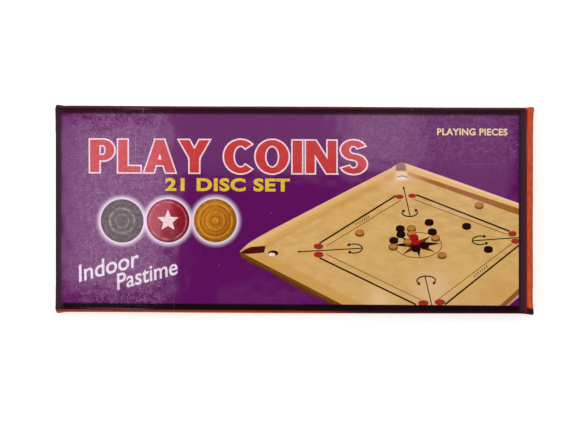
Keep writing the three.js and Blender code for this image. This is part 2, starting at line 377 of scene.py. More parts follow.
def wall_print(s):
    """Orange down the walls, darker towards their foot as painted shade, with the border's black running over the folds
    a little askew.
    """
    tone = s.smooth(s.noise(5, detail=4), 0.35, 0.65)
    orange = s.mix(tone, srgb(176, 58, 24), srgb(200, 76, 34))
    depth = s.calc("SUBTRACT", FACE_Z, s.z)
    # Darker towards the foot of the wall: painted shade.
    orange = s.mix(s.smooth(depth, 8.5 * MM, 11.5 * MM), orange, srgb(140, 52, 28))
    # How far the black reaches: at the rear a little more to the right, at the front from the middle.
    rear = s.calc("ADD", 7.5 * MM, s.calc("MULTIPLY", s.smooth(s.x, -92 * MM, -30 * MM), 2 * MM))
    front = s.calc("MULTIPLY", s.smooth(s.x, -10 * MM, 60 * MM), 9.5 * MM)
    reach = s.calc("ADD", s.calc("MULTIPLY", s.smooth(s.y, -MM, MM), rear),
                   s.calc("MULTIPLY", s.smooth(s.y, MM, -MM), front))
    long_wall = s.smooth(s.calc("SUBTRACT", s.calc("ABSOLUTE", s.y), HALF_Y), -0.6 * MM, -0.2 * MM)
    rear_right = s.calc("MULTIPLY", s.smooth(s.x, HALF_X - 1.2 * MM, HALF_X - 0.6 * MM), s.smooth(s.y, 0, MM))
    long_wall = s.calc("MULTIPLY", long_wall, s.calc("SUBTRACT", 1.0, rear_right))
    reach = s.calc("ADD", s.calc("MULTIPLY", reach, long_wall), s.calc("MULTIPLY", s.noise(16), 0.7 * MM))
    reach = s.calc("ADD", reach, s.calc("MULTIPLY", s.smooth(s.x, 0, -MM), 1.2 * MM))
    past = s.calc("SUBTRACT", depth, reach)
    wall = s.mix(s.smooth(past, 0.1 * MM, 0.5 * MM), border_black(s), orange)
    ends = s.calc("MULTIPLY", s.smooth(past, 3.5 * MM, 0.5 * MM), long_wall)
    wall = s.mix(s.calc("MULTIPLY", ends, 0.6), wall, srgb(70, 14, 12))
    # The front flap's black end folds round on to the right wall, and the rear one's to the left.
    for side in (1, -1):
        along = s.calc("ADD", HALF_Y, s.calc("MULTIPLY", s.y, side))
        slope = s.calc("MULTIPLY", depth, 0.13)
        within = s.calc("SUBTRACT", 3.2 * MM, s.calc("ADD", along, slope))
        end_wall = s.smooth(s.calc("MULTIPLY", s.x, side), HALF_X - 1.2 * MM, HALF_X - 0.9 * MM)
        flap = s.calc("MULTIPLY", s.smooth(within, 0, 0.25 * MM), end_wall)
        wall = s.mix(flap, wall, srgb(20, 8, 12))
    return wall


def lid_wall_print():
    """The wrap's walls and turn-in: duller than the face, scuffed along the rim."""
    s = Shading("printed_wrap_walls", roughness=0.55, Coat_Weight=0.05, Coat_Roughness=0.25)
    s.shader.inputs["Specular IOR Level"].default_value = 0.0
    wall = wall_print(s)
    rim = s.smooth(s.z, RIM_Z + 1.2 * MM, RIM_Z)
    worn = s.calc("MULTIPLY", s.smooth(s.noise(1.8, detail=6), 0.54, 0.7), rim)
    wall = s.mix(s.calc("MULTIPLY", worn, 0.35), wall, srgb(206, 160, 134))
    fibre = s.noise(0.5, detail=3)
    s.bump(s.calc("ADD", s.noise(6, detail=2), s.calc("MULTIPLY", fibre, 0.1)), 0.12, 0.5)
    return s.finish(wall)


# ---------------------------------------------------------------- the lid's printed wrap


def grid_lines(half, spacing):
    """Lines from -half to half, closer where the folds round off, in metres."""
    radius = FOLD_RADIUS * MM
    ends = [half - radius * step for step in (0, 0.3, 0.6, 1.0)]
    ends += [half - radius - 0.5 * MM]
    inner = ends[-1]
    count = max(2, round(2 * inner / (spacing * MM)))
    middle = [-inner + 2 * inner * i / count for i in range(1, count)]
    return [-e for e in ends] + middle + ends[::-1]


def corner_shape(x, y, radius, half_x, half_y):
    """A grid point's straight part (-1 to 1 each way) and its place in the corner rounding."""
    flat_x = max(-(half_x - radius), min(half_x - radius, x))
    flat_y = max(-(half_y - radius), min(half_y - radius, y))
    return (
        (flat_x / (half_x - radius), flat_y / (half_y - radius)),
        ((x - flat_x) / radius, (y - flat_y) / radius),
    )


def outward_nudge(x, y, depth):
    """How a hand-covered carton departs from a true rectangle, seen from above, in metres."""
    drop = depth / (FACE_Z - RIM_Z)
    corner_x, corner_y = HALF_X - abs(x), HALF_Y - abs(y)
    pinch = math.exp(-((corner_x + corner_y) / (3.2 * MM)) ** 2)
    size = (0.25 + 0.45 * drop) * MM * pinch
    along_x = math.sin(x / (41 * MM) + 1.3) * 0.12 * MM * drop
    along_y = math.sin(y / (23 * MM) + 0.4) * 0.10 * MM * drop
    flap = 0.1 * MM if 1.6 * MM < corner_y < FLAP_REACH * MM and depth > FOLD_RADIUS * MM else 0
    # The front wall leans out most at its left end, where it shows from above.
    lean = (0.62 - 0.38 * x / HALF_X) * MM * drop if y < 0 else 0
    lean *= max(0.0, 1 - corner_y / (FOLD_RADIUS * MM))
    push_x = size + (along_y + flap if corner_x < 0.1 * MM else 0)
    push_y = size + lean + (along_x if corner_y < 0.1 * MM else 0)
    return math.copysign(push_x, x), math.copysign(push_y, y)


def wrap_rows():
    """Rows of the wall from the fold down, under the rim and up inside: inset, z, radius."""
    radius = FOLD_RADIUS * MM
    inner_radius = 0.35 * MM
    rows = []
    straight = FACE_Z - radius - RIM_Z - 0.4 * MM
    count = 12
    for i in range(count + 1):
        rows.append((0.0, FACE_Z - radius - straight * i / count, radius))
    rows.append((0.08 * MM, RIM_Z + 0.12 * MM, radius))
    rows.append((0.3 * MM, RIM_Z, radius))
    rows.append((0.85 * MM, RIM_Z, 0.6 * MM))
    rows.append(((WALL_STACK - 0.3) * MM, RIM_Z, inner_radius))
    rows.append(((WALL_STACK - 0.08) * MM, RIM_Z + 0.12 * MM, inner_radius))
    for i in range(5):
        z = RIM_Z + 0.4 * MM + (TURN_IN - 0.4) * MM * i / 4
        rows.append((WALL_STACK * MM, z, inner_radius))
    return rows


def lid_wrap_mesh():
    radius = FOLD_RADIUS * MM
    xs, ys = grid_lines(HALF_X, 2.4), grid_lines(HALF_Y, 2.4)
    bm = bmesh.new()

    def rounded(x, y, up):
        """A point of the crown or fold: up is 1 on the crown and falls to 0 at the wall."""
        (tx, ty), (ox, oy) = corner_shape(x, y, radius, HALF_X, HALF_Y)
        lean = Vector((ox, oy, up)).normalized() * radius
        px = tx * (HALF_X - radius) + lean.x
        py = ty * (HALF_Y - radius) + lean.y
        nudge = outward_nudge(px, py, 0) if max(abs(ox), abs(oy)) > 0.99 else (0, 0)
        return bm.verts.new((px + nudge[0], py + nudge[1], FACE_Z - radius + lean.z))

    crown = [[rounded(x, y, 1.0) for x in xs] for y in ys]
    for lower, upper in zip(crown, crown[1:]):
        for i in range(len(xs) - 1):
            bm.faces.new((lower[i], lower[i + 1], upper[i + 1], upper[i]))
    edge = [(i, 0) for i in range(len(xs) - 1)]
    edge += [(len(xs) - 1, j) for j in range(len(ys) - 1)]
    edge += [(i, len(ys) - 1) for i in range(len(xs) - 1, 0, -1)]
    edge += [(0, j) for j in range(len(ys) - 1, 0, -1)]
    loops = [[crown[j][i] for i, j in edge]]
    for up in (0.6, 0.3):
        loops.append([rounded(xs[i], ys[j], up) for i, j in edge])
    for inset, z, corner in wrap_rows():
        depth = FACE_Z - z
        lean = max(0.0, (FACE_Z - radius - z) / (FACE_Z - radius - RIM_Z))
        half_x = HALF_X + LEAN_X * lean - inset
        half_y = HALF_Y + LEAN_Y * lean - inset
        loop = []
        for i, j in edge:
            (tx, ty), (ox, oy) = corner_shape(xs[i], ys[j], radius, HALF_X, HALF_Y)
            out = Vector((ox, oy)).normalized() * corner
            x, y = tx * (half_x - corner) + out.x, ty * (half_y - corner) + out.y
            nudge = outward_nudge(xs[i], ys[j], depth) if inset < 0.5 * MM else (0, 0)
            loop.append(bm.verts.new((x + nudge[0], y + nudge[1], z)))
        loops.append(loop)
    for upper, lower in zip(loops, loops[1:]):
        for i in range(len(edge)):
            j = (i + 1) % len(edge)
            bm.faces.new((upper[i], lower[i], lower[j], upper[j]))
    return bm


def make_lid_wrap():
    materials = (lid_face_print(), lid_wall_print())
    wrap = new_piece("lid_wrap_sheet", lid_wrap_mesh(), "lid", materials, smooth=True)
    for face in wrap.data.polygons:
        face.material_index = 1 if face.center.z < FACE_Z - FOLD_RADIUS * MM else 0
    sheet = wrap.modifiers.new("paper", "SOLIDIFY")
    sheet.thickness = PAPER * MM
    sheet.offset = -1
    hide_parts("lid_printed_wrap")


make_lid_wrap()

# ---------------------------------------------------------------- print: letters


def flat_piece(name, outlines, level, material):
    """One layer of print over outlines in mm, cut off at the panel's edge."""
    shapes = [clipped(anticlockwise([tuple(point) for point in outline])) for outline in outlines]
    bm = bmesh.new()
    add_union(bm, [shape for shape in shapes if len(shape) > 2], FACE_Z - INK * MM, FACE_Z + level * INK * MM)
    return new_piece(name, bm, "lid", material)


def glyph_mesh(text, bold, spacing):
    """The letters as one mesh, one unit high or so, from Blender's own plain font."""
    curve = bpy.data.curves.new("letters", "FONT")
    curve.body = text
    curve.offset = bold
    curve.extrude = 0.5
    curve.space_character = spacing
    curve.resolution_u = 5
    holder = bpy.data.objects.new("letters", curve)
    bpy.context.scene.collection.objects.link(holder)
    shaped = holder.evaluated_get(bpy.context.evaluated_depsgraph_get())
    mesh = bpy.data.meshes.new_from_object(shaped)
    bpy.data.objects.remove(holder)
    bpy.data.curves.remove(curve)
    return mesh


def letters(name, text, box, material, turn=0.0, shear=0.0, bold=0.03, spacing=1.0):
    """Letters that fill a box in mm (left, bottom, right, top) and then turn round its corner."""
    left, bottom, right, top = box
    bm = bmesh.new()
    bm.from_mesh(glyph_mesh(text, bold, spacing))
    bmesh.ops.remove_doubles(bm, verts=bm.verts, dist=1e-5)
    xs = [v.co.x for v in bm.verts]
    ys = [v.co.y for v in bm.verts]
    low_x, low_y = min(xs), min(ys)
    scale_x = (right - left) / (max(xs) - low_x)
    scale_y = (top - bottom) / (max(ys) - low_y)
    angle = math.radians(turn)
    for v in bm.verts:
        y = (v.co.y - low_y) * scale_y
        x = (v.co.x - low_x) * scale_x + y * shear
        along = x * math.cos(angle) - y * math.sin(angle)
        up = x * math.sin(angle) + y * math.cos(angle)
        height = INK if v.co.z > 0 else -INK
        v.co = ((left + along) * MM, (bottom + up) * MM, FACE_Z + height * MM)
    new_piece(f"print_{name}", bm, "lid", material)


def bar(left, bottom, right, top):
    return [(left, bottom), (right, bottom), (right, top), (left, top)]


def bend(x, y, across, up, thick, start, stop, count=16):
    """Quads of a bent stroke round a centre, from one angle to another; thick is taken off the radii."""
    quads = []
    turns = [math.radians(start + (stop - start) * i / count) for i in range(count + 1)]
    for a, b in zip(turns, turns[1:]):
        outer = [(x + across * math.cos(t), y + up * math.sin(t)) for t in (a, b)]
        inner = [(x + (across - thick[0]) * math.cos(t), y + (up - thick[1]) * math.sin(t)) for t in (b, a)]
        quads.append(outer + inner)
    return quads


# Plain heavy letters, ten units high: each is its width and the shapes it is made of.
BLOCK_LETTERS = {
    "P": (7.2, [bar(0, 0, 2.8, 10), bar(2.6, 8.3, 4, 10), bar(2.6, 3.6, 4, 5.3)]
          + bend(3.9, 6.8, 3.3, 3.2, (2.6, 1.7), -90, 90)),
    "L": (6.6, [bar(0, 0, 2.8, 10), bar(0, 0, 6.6, 1.9)]),
    "A": (9.2, [[(0, 0), (2.8, 0), (5.9, 10), (3.3, 10)], [(6.4, 0), (9.2, 0), (5.9, 10), (3.3, 10)],
                bar(2.0, 2.2, 7.2, 4.0)]),
    "Y": (9.0, [[(0, 10), (3, 10), (5.9, 4.4), (3.1, 4.4)], [(6, 10), (9, 10), (5.9, 4.4), (3.1, 4.4)],
                bar(3.1, 0, 5.9, 4.6)]),
    "C": (8.2, bend(4.9, 5, 4.9, 5.15, (2.8, 1.8), 48, 312, 26)),
    "O": (9.8, bend(4.9, 5, 4.9, 5.15, (2.8, 1.8), 0, 360, 32)),
    "I": (2.8, [bar(0, 0, 2.8, 10)]),
    "N": (9.0, [bar(0, 0, 2.6, 10), bar(6.4, 0, 9, 10), [(0, 10), (2.9, 10), (9, 0), (6.1, 0)]]),
    "S": (7.8, bend(3.9, 7.2, 3.7, 2.95, (2.5, 1.7), 25, 270) + bend(3.9, 2.85, 3.9, 3.0, (2.6, 1.7), 90, -155)),
    " ": (2.0, []),
}


def grown(outline, reach):
    """A convex outline with every side moved out by that much."""
    outline = [Vector(point) for point in anticlockwise(outline)]
    normals = []
    for here, after in zip(outline, outline[1:] + outline[:1]):
        side = (after - here).normalized()
        normals.append(Vector((side.y, -side.x)))
    moved = []
    for i, point in enumerate(outline):
        both = normals[i - 1] + normals[i]
        moved.append(tuple(point + both * (2 * reach / both.length_squared)))
    return moved


def block_word(name, text, box, gap, layers):
    """A word in block letters that fills a box in mm; each layer is a material and its reach."""
    left, bottom, right, top = box
    shapes, place = [], 0.0
    for letter in text:
        width, parts = BLOCK_LETTERS[letter]
        shapes += [[(x + place, y) for x, y in part] for part in parts]
        place += width + gap
    scale_x, scale_y = (right - left) / (place - gap), (top - bottom) / 10
    for level, (suffix, material, reach) in enumerate(layers, start=1):
        outlines = []
        for shape in shapes:
            outlines.append([(left + x * scale_x, bottom + y * scale_y) for x, y in grown(shape, reach)])
        flat_piece(f"print_{name}_{suffix}", outlines, level, material)


def make_words():
    red = ink("ink_heading_red", srgb(198, 46, 34), dust_and_sheen=0.6)
    pale = ink("ink_outline_pale", srgb(244, 220, 228))
    yellow = ink("ink_yellow", srgb(228, 192, 52))
    cream = ink("ink_cream", srgb(240, 214, 160))
    white = ink("ink_white", srgb(232, 222, 232))
    heading = [("outline", pale, 0.42), ("fill", red, 0)]
    block_word("heading", "PLAY COINS", (-101.8, 18.5, 38.5, 34.8), 1.15, heading)
    letters("subheading", "21 DISC SET", (-63.6, 9.2, -0.4, 15.8), yellow, bold=0.04, spacing=1.08)
    letters("corner_words", "PLAYING PIECES", (74.1, 37.8, 109.6, 41.3), cream, bold=0.03, spacing=1.05)
    letters("script_upper", "Indoor", (-107.4, -36.8, -75.8, -28.4), white, turn=15, shear=0.25, bold=0.012)
    letters("script_lower", "Pastime", (-88.0, -40.7, -56.2, -32.7), white, turn=15, shear=0.25, bold=0.012)


make_words()

# ---------------------------------------------------------------- print: three discs


def disc_ink(name, centre, base, shade, rings, flecks):
    """A printed disc: a colour that darkens to one side, with soft turned rings."""
    s = glossy(name)
    away = s.calc("DIVIDE", s.from_point(*centre), MM)
    dx = s.calc("SUBTRACT", s.x, centre[0] * MM)
    dy = s.calc("SUBTRACT", s.y, centre[1] * MM)
    side = s.calc("SUBTRACT", dx, s.calc("MULTIPLY", dy, 0.7))
    colour = s.mix(s.smooth(side, -9 * MM, 12 * MM), base, shade)
    mottle = s.smooth(s.noise(0.75, detail=4, roughness=0.7), 0.4, 0.64)
    colour = s.mix(s.calc("MULTIPLY", mottle, flecks[1]), colour, flecks[0])
    for radius, width, tone, strength in rings:
        ring = s.between(away, radius - width, radius + width, width)
        broken = s.smooth(s.noise(2.6, detail=3), 0.3, 0.62)
        amount = s.calc("MULTIPLY", s.calc("MULTIPLY", ring, broken), strength)
        colour = s.mix(amount, colour, tone)
    return s.finish(film(s, colour, dust_and_sheen=0.5))


def star(x, y, outer, inner, points=5, turn=90.0):
    outline = []
    for i in range(2 * points):
        angle = math.radians(turn + 180 * i / points)
        reach = inner if i % 2 else outer
        outline.append((x + reach * math.cos(angle), y + reach * math.sin(angle)))
    return outline


def make_coin_pictures():
    amber, brown = srgb(222, 164, 66), srgb(122, 68, 8)
    looks = {
        "black": (srgb(34, 34, 24), srgb(20, 20, 14), (srgb(120, 120, 102), 0.5),
                  [(7.9, 0.35, srgb(24, 20, 18), 0.5), (6.2, 0.45, srgb(164, 158, 144), 0.7),
                   (3.3, 0.35, srgb(150, 144, 132), 0.5), (10.2, 0.5, srgb(26, 22, 20), 0.8)]),
        "red": (srgb(152, 14, 34), srgb(104, 8, 24), (srgb(190, 58, 70), 0.3),
                [(9.3, 0.3, srgb(210, 116, 126), 0.7), (10.4, 0.4, srgb(104, 18, 34), 0.8)]),
        "gold": (srgb(184, 112, 16), srgb(146, 78, 4), (srgb(216, 152, 56), 0.35),
                 [(8.4, 0.4, amber, 0.7), (7.5, 0.4, brown, 0.8), (5.2, 0.4, brown, 0.55),
                  (4.5, 0.3, amber, 0.7), (2.3, 0.35, brown, 0.7), (1.0, 0.5, amber, 0.5),
                  (10.1, 0.6, brown, 0.8)]),
    }
    for name, (base, shade, flecks, rings) in looks.items():
        x, y = COIN_PICTURES[name]
        material = disc_ink(f"ink_{name}_disc", (x, y), base, shade, rings, flecks)
        outline = ellipse(x, y, COIN_PICTURE_RADIUS, COIN_PICTURE_RADIUS, 72)
        flat_piece(f"print_{name}_disc", [outline], 1, material)
    x, y = COIN_PICTURES["red"]
    pale = ink("ink_star", srgb(244, 214, 222))
    flat_piece("print_red_disc_star", [star(x, y, 5.6, 2.5)], 2, pale)


make_coin_pictures()

# ---------------------------------------------------------------- print: the game board

def stroke(points, width, closed=False):
    """Quads, in mm, that follow a line of that width; board places come as they are given."""
    quads = []
    pairs = list(zip(points, points[1:] + points[:1])) if closed else list(zip(points, points[1:]))
    for (ax, ay), (bx, by) in pairs:
        length = math.hypot(bx - ax, by - ay) or 1.0
        nx, ny = -(by - ay) / length * width / 2, (bx - ax) / length * width / 2
        quads.append([(ax + nx, ay + ny), (ax - nx, ay - ny), (bx - nx, by - ny), (bx + nx, by + ny)])
    return quads


def curve_through(points, steps=5):
    """A smooth line through points."""
    points = [Vector(point) for point in points]
    padded = [points[0]] + points + [points[-1]]
    line = []
    for before, here, after, later in zip(padded, padded[1:], padded[2:], padded[3:]):
        for i in range(steps):
            t = i / steps
            bow = (after - before) * t + (2 * before - 5 * here + 4 * after - later) * t ** 2
            line.append(here + (bow + (3 * here - before - 3 * after + later) * t ** 3) / 2)
    return line + [points[-1]]


def arrowhead(tip_from, tip, length, width):
    """A triangle whose base sits on a line's end and whose point goes on along it."""
    end = Vector(tip)
    along = (end - Vector(tip_from)).normalized()
    across = Vector((-along.y, along.x)) * width / 2
    back = end - along * 0.35 * length
    return [tuple(back - across), tuple(back + along * length), tuple(back + across)]


class BoardShading(Shading):
    """Paints soft-edged shapes on the printed board by their outlines in mm."""

    def side(self, first, second, soft):
        """1 to the left of the line from the first point to the second."""
        (ax, ay), (bx, by) = first, second
        length = math.hypot(bx - ax, by - ay)
        nx, ny = -(by - ay) / length, (bx - ax) / length
        offset = nx * ax + ny * ay
        across = self.calc("MULTIPLY", self.x, nx / MM)
        up = self.calc("MULTIPLY", self.y, ny / MM)
        return self.smooth(self.calc("ADD", across, up), offset - soft, offset + soft)

    def patch(self, outline, soft):
        """1 inside a convex outline."""
        outline = anticlockwise(outline)
        inside = 1.0
        for first, second in zip(outline, outline[1:] + outline[:1]):
            inside = self.calc("MULTIPLY", inside, self.side(first, second, soft))
        return inside

    def paint(self, colour, outline, tone, strength=1.0, soft=0.4):
        return self.mix(self.calc("MULTIPLY", self.patch(outline, soft), strength), colour, tone)

    def spot(self, colour, centre, radius, tone, strength):
        away = self.from_point(*centre)
        near = self.smooth(away, radius * MM, 0)
        return self.mix(self.calc("MULTIPLY", near, strength), colour, tone)


BOARD_OUTLINE = [
    (-25.8, -21.0), (-24.5, -19.6), (-22.7, -17.9), (-20.2, -15.9), (-10.0, -10.1), (10.4, 0.4),
    (30.7, 10.9), (51.0, 21.3), (53.7, 23.2), (55.7, 24.3), (58.1, 23.7), (81.5, 15.8),
    (115.8, 3.9), (116.6, -41.8), (107.9, -49.0), (24.0, -49.0), (18.5, -46.3), (7.5, -41.3),
    (-2.7, -35.9), (-12.0, -30.5), (-20.6, -26.7), (-24.9, -24.0),
]


def board_wood():
    s = glossy("ink_board_picture", BoardShading)
    grain = s.noise(7, detail=5, vector=s.stretched(1.0, 2.2, 1.0))
    colour = s.mix(s.smooth(grain, 0.35, 0.65), srgb(204, 162, 98), srgb(218, 178, 112))
    flecks = s.smooth(s.noise(0.6, detail=3, roughness=0.7), 0.36, 0.66)
    colour = s.mix(s.calc("MULTIPLY", flecks, 0.22), colour, srgb(176, 128, 66))
    low = s.smooth(s.y, -12 * MM, -34 * MM)
    colour = s.mix(s.calc("MULTIPLY", low, 0.5), colour, srgb(206, 164, 102))
    for centre, radius, tone, strength in (
        ((71.6, -38.1), 16, srgb(226, 186, 150), 0.6), ((45.0, -44.5), 12, srgb(228, 196, 146), 0.6),
        ((105.4, -41.0), 14, srgb(200, 148, 76), 0.6), ((28.7, -1.6), 16, srgb(210, 166, 92), 0.5),
        ((88.0, -30.0), 14, srgb(216, 178, 110), 0.5), ((40.0, -20.0), 16, srgb(208, 168, 104), 0.5),
    ):
        colour = s.spot(colour, centre, radius, tone, strength)
    # The rim's top and inner wall, upper left.
    colour = s.paint(colour, [(-24.3, -19.3), (-13.1, -17.6), (54.1, 20.1), (54.1, 25.0)], srgb(222, 180, 116), 0.7)
    dark_band = [(-13.6, -15.4), (-12.1, -18.6), (52.9, 16.1), (52.6, 19.9)]
    colour = s.paint(colour, dark_band, srgb(196, 144, 66), 0.5, soft=0.8)
    pale_edge = [(-22.3, -17.3), (-22.3, -18.2), (53.1, 22.0), (53.0, 24.0)]
    colour = s.paint(colour, pale_edge, srgb(232, 190, 160), 0.4, soft=0.35)
    # The rim, upper right: its top, and the wall in shade below it.
    colour = s.paint(colour, [(58.1, 24.2), (58.1, 20.1), (116.2, 1.2), (116.2, 4.3)], srgb(224, 180, 104))
    colour = s.paint(colour, [(58.1, 23.9), (58.1, 22.6), (116.2, 2.5), (116.2, 4.1)], srgb(238, 196, 168), 0.7)
    wall = [(58.4, 19.8), (59.0, 17.8), (116.3, -2.2), (116.2, 1.1)]
    colour = s.paint(colour, wall, srgb(152, 92, 30), soft=0.3)
    colour = s.spot(colour, (58.1, 18.9), 16, srgb(226, 176, 130), 0.6)
    # The rim, lower left, and its outside wall, which is darkest along its foot.
    rim = [(-22.5, -22.5), (26.9, -47.4), (38.0, -47.6), (-12.9, -21.7)]
    colour = s.paint(colour, rim, srgb(198, 144, 62), 0.55, soft=0.8)
    outside = [(-26.5, -20.5), (-27.0, -30.0), (18.0, -52.0), (28.1, -48.0), (-22.5, -22.5)]
    colour = s.paint(colour, outside, srgb(108, 66, 14), soft=0.25)
    foot = [(-26.6, -22.6), (-27.0, -30.0), (18.0, -52.0), (24.4, -48.0), (-22.5, -24.5)]
    colour = s.paint(colour, foot, srgb(84, 32, 22), 0.75, soft=0.45)
    # The rim, lower right: a brown line and a pale strip outside it run out of the picture.
    colour = s.paint(colour, [(116.6, -38.6), (104.2, -49.0), (109.6, -51.0), (118.6, -43.0)], srgb(196, 146, 116))
    colour = s.paint(colour, [(116.4, -37.4), (104.2, -48.6), (107.2, -48.6), (116.6, -40.4)], srgb(122, 72, 34), 0.9)
    # Corner guards.
    guard = [(-25.9, -21.6), (-23.3, -19.9), (-20.2, -18.5), (-12.6, -17.9), (-13.4, -21.4), (-22.3, -22.2)]
    colour = s.paint(colour, guard, srgb(78, 14, 14), soft=0.25)
    guard = [(53.3, 23.1), (54.7, 24.6), (57.1, 24.4), (58.2, 22.7), (58.6, 19.8), (53.1, 19.8)]
    colour = s.paint(colour, guard, srgb(142, 98, 88), soft=0.3)
    colour = s.paint(colour, [(53.1, 19.7), (58.7, 19.7), (59.2, 15.3), (53.5, 15.2)], srgb(238, 218, 196), 0.6, 0.8)
    return s.finish(film(s, colour, dust_and_sheen=0.5))


# On each side of the printed board: two spots, an arrow from its tail to the hook, and the hook.
BOARD_MARKS = [
    {"spots": [(14.1, -18.1), (14.2, -22.2)], "spot_size": (2.48, 1.45), "arrow": [(4.2, -20.8), (35.9, -18.9)],
     "hook": [(29.4, -17.2), (31.4, -16.8), (33.9, -16.9), (35.7, -17.8), (36.3, -19.0), (35.6, -20.2),
              (33.9, -21.1), (31.6, -21.3), (29.8, -20.9)]},
    {"spots": [(55.2, 7.0), (61.5, 7.5)], "spot_size": (2.03, 1.1), "arrow": [(57.2, 11.4), (60.5, -2.7)],
     "hook": [(57.2, -0.1), (56.3, -1.2), (57.6, -2.4), (60.4, -2.9), (62.9, -2.3), (64.3, -0.9), (63.3, 0.3)]},
    {"spots": [(112.1, -11.2), (113.6, -14.9)], "spot_size": (2.18, 1.35), "arrow": [(115.8, -13.0), (92.2, -14.8)],
     "hook": [(98.0, -12.6), (95.2, -12.4), (92.8, -13.3), (91.8, -14.6), (92.7, -16.0), (95.7, -16.8), (99.1, -16.0)]},
    {"spots": [(67.2, -46.1), (75.5, -45.6)], "spot_size": (2.64, 1.5), "arrow": [(71.4, -47.1), (68.0, -32.7)],
     "hook": [(65.0, -36.5), (63.9, -34.9), (65.3, -33.3), (68.3, -32.6), (71.4, -33.0), (73.4, -34.5), (72.5, -36.1)]},
]
# The thick line and the thin line inside it, side by side from the left corner round.
BOARD_SIDES = [
    ([(14.6, -16.5), (53.4, 7.6)], [(18.1, -17.9), (55.7, 5.2)]),
    ([(63.6, 8.0), (110.6, -9.9)], [(62.3, 5.7), (109.1, -11.5)]),
    ([(115.3, -17.0), (78.0, -46.8)], [(111.7, -16.2), (74.7, -44.2)]),
    ([(14.6, -23.8), (63.5, -46.9)], [(18.1, -22.0), (66.0, -44.5)]),
]
STAR_CENTRE = (64.2, -16.9)
STAR_TIPS = {
    "black": [(50.9, -17.2), (65.2, -23.4), (76.1, -16.2), (55.5, -13.2)],
    "brown": [(56.5, -22.0), (73.3, -20.7), (71.0, -12.5), (62.9, -10.9)],
}


def star_ray(tip, width):
    """A thin kite from just behind the star's centre to a tip, so that the rays overlap there."""
    centre, tip = Vector(STAR_CENTRE), Vector(tip)
    along = tip - centre
    across = Vector((-along.y, along.x)).normalized() * width / 2
    waist = centre + along * 0.28
    return [tuple(p) for p in (centre - along * 0.08, waist - across, tip, waist + across)]


def ticks(start, end, count=7):
    """A row of short bars between two lines of the board, where a real one often has words."""
    start, end = Vector(start), Vector(end)
    along = (end - start).normalized()
    lean = Vector((-along.y, along.x)) + along * 0.3
    bars = []
    for i in range(count):
        foot = start.lerp(end, (i + 0.5) / count)
        bars += stroke([tuple(foot - lean * 0.55), tuple(foot + lean * 0.55)], 0.34)
    return bars


def make_board_picture():
    flat_piece("print_board", [BOARD_OUTLINE], 1, board_wood())
    inks = {
        name: ink(f"ink_{name}", tone, dust_and_sheen=0.5)
        for name, tone in (("dark_line", srgb(46, 24, 8)), ("thin_line", srgb(132, 86, 36)),
                           ("black", srgb(20, 8, 10)), ("brown", srgb(112, 42, 14)),
                           ("spot_red", srgb(164, 46, 40)), ("net_white", srgb(240, 228, 214)),
                           ("grey", srgb(128, 122, 116)))
    }
    thick, thin, spots, arrows = [], [], [], []
    for heavy, light in BOARD_SIDES:
        thick += stroke(heavy, 0.82)
        thin += stroke(light, 0.36)
    for marks in BOARD_MARKS:
        spots += [ellipse(x, y, *marks["spot_size"], 28) for x, y in marks["spots"]]
        arrows += stroke(marks["arrow"], 0.5)
        hook = curve_through(marks["hook"])
        arrows += stroke(hook, 0.6)
        arrows += [arrowhead(hook[2], hook[0], 1.6, 1.9), arrowhead(hook[-3], hook[-1], 1.6, 1.9)]
    arrows += [arrowhead(BOARD_MARKS[i]["arrow"][1], BOARD_MARKS[i]["arrow"][0], 1.5, 1.2) for i in (0, 1)]
    thin += stroke(ellipse(64.4, -17.1, 12.0, 6.3, 48), 0.4, closed=True)
    arrows += ticks((92.3, -32.9), (99.6, -27.1)) + ticks((32.5, -7.2), (39.9, -2.9))
    flat_piece("print_board_thin_lines", thin, 2, inks["thin_line"])
    flat_piece("print_board_lines", thick + arrows, 3, inks["dark_line"])
    flat_piece("print_board_spots", spots, 4, inks["spot_red"])
    for tone, tips in STAR_TIPS.items():
        flat_piece(f"print_board_star_{tone}", [star_ray(tip, 2.4) for tip in tips], 3, inks[tone])
    flat_piece("print_board_pockets", [ellipse(-8.8, -21.6, 2.6, 1.35, 24)], 3, inks["dark_line"])
    nets = [ellipse(-9.5, -22.3, 1.8, 0.85, 20), ellipse(56.4, 16.4, 2.5, 0.6, 20)]
    flat_piece("print_board_pocket_nets", nets, 4, inks["net_white"])
    far_lip = [(53.8, 16.6), (54.7, 17.1), (56.4, 17.4), (58.1, 17.1), (59.1, 16.6)]
    flat_piece("print_board_far_lip", stroke(far_lip, 0.45), 5, inks["grey"])


PICTURE_DISCS = {
    "black": [(70.1, -5.8), (55.5, -9.0), (55.8, -11.9), (71.7, -10.5), (52.2, -14.9), (67.7, -17.3),
              (63.4, -18.9), (89.0, -7.6), (100.0, -19.1)],
    "natural": [(95.3, 2.7), (35.0, -11.4), (61.1, -9.0), (61.3, -11.6), (73.3, -13.7), (59.4, -15.7),
                (51.9, -18.2), (76.6, -22.3)],
    "red": [(62.3, -13.5), (63.2, -16.0)],
}


